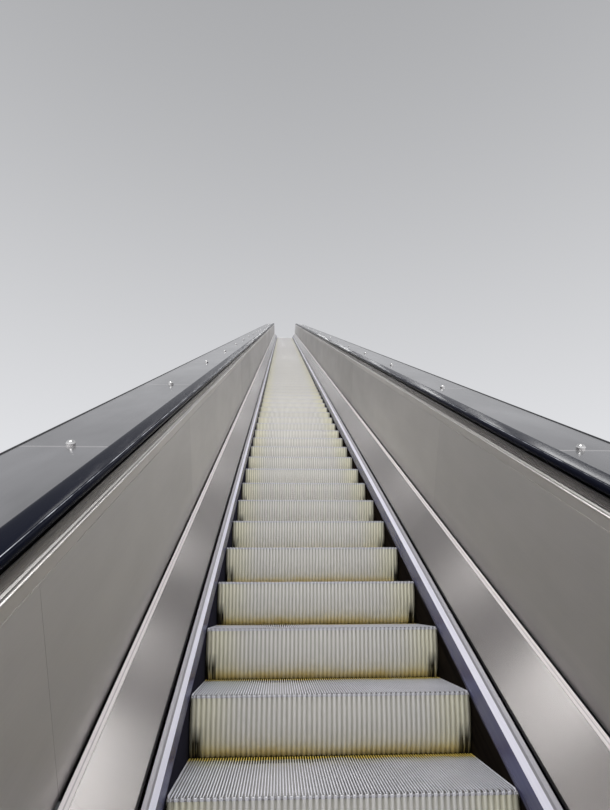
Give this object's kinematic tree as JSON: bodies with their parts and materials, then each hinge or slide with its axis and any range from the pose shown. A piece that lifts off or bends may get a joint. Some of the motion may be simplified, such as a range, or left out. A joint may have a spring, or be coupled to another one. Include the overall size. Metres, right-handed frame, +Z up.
{
  "type": "escalator",
  "caption": "Long straight public escalator with cleated metal steps, brushed steel balustrades, black handrails and wide outer decks with round anti-slide knobs",
  "frame": {"origin": "on the underside of the lower support bracket, in its middle; this flat face rests on the building's ledge", "axes": "+Z up, the flight climbs towards +Y, X runs across and the part is symmetric about X = 0"},
  "size_m": [2.33, 39.3481, 19.5913],
  "materials": {
    "bracket_steel": "dark grey paint",
    "truss_steel": "grey paint, hidden",
    "cladding_grey": "satin stainless steel",
    "floor_steel": "ribbed stainless steel",
    "comb_aluminium": "bare cast aluminium",
    "step_aluminium": "worn cast aluminium, cream tint and grime",
    "skirt_dark": "dark low-friction coating, satin",
    "trim_bright": "bright anodised",
    "inner_deck_satin": "satin stainless steel, brushed",
    "moulding_bright": "bright satin stainless steel",
    "panel_brushed": "brushed stainless steel",
    "rail_brushed": "brushed stainless steel with polished bead",
    "guide_steel": "satin stainless steel, shaded",
    "handrail_rubber": "smooth glossy black rubber",
    "outer_deck_satin": "satin stainless steel, brushed",
    "knob_bright": "polished",
    "cap_steel": "brushed stainless steel"
  },
  "bodies": {
    "root": {"lower_support_bracket": "bracket_steel", "upper_support_bracket": "bracket_steel", "truss_left": "truss_steel", "truss_right": "truss_steel", "truss_crossbeams": "truss_steel", "step_tracks": "truss_steel", "soffit_panels": "cladding_grey", "cladding_left": "cladding_grey", "cladding_right": "cladding_grey", "lower_end_plate": "cladding_grey", "upper_end_plate": "cladding_grey", "lower_floor_plates": "floor_steel", "upper_floor_plates": "floor_steel", "lower_comb_plate": "comb_aluminium", "upper_comb_plate": "comb_aluminium", "lower_comb_teeth": "comb_aluminium", "upper_comb_teeth": "comb_aluminium", "steps_lower_landing": "step_aluminium", "steps_flight_low": "step_aluminium", "steps_flight_middle": "step_aluminium", "steps_flight_high": "step_aluminium", "steps_upper_landing": "step_aluminium", "skirt_panels_left": "skirt_dark", "skirt_panels_right": "skirt_dark", "skirt_trims_left": "trim_bright", "skirt_trims_right": "trim_bright", "inner_deck_left": "inner_deck_satin", "inner_deck_right": "inner_deck_satin", "deck_moulding_left": "moulding_bright", "deck_moulding_right": "moulding_bright", "balustrade_panels_left": "panel_brushed", "balustrade_panels_right": "panel_brushed", "balustrade_rails_left": "rail_brushed", "balustrade_rails_right": "rail_brushed", "handrail_guide_left": "guide_steel", "handrail_guide_right": "guide_steel", "handrail_left": "handrail_rubber", "handrail_right": "handrail_rubber", "outer_deck_left": "outer_deck_satin", "outer_deck_right": "outer_deck_satin", "deck_knobs_left": "knob_bright", "deck_knobs_right": "knob_bright", "newels_left": "panel_brushed", "newels_right": "panel_brushed", "end_caps": "cap_steel"}
  },
  "joints": []
}
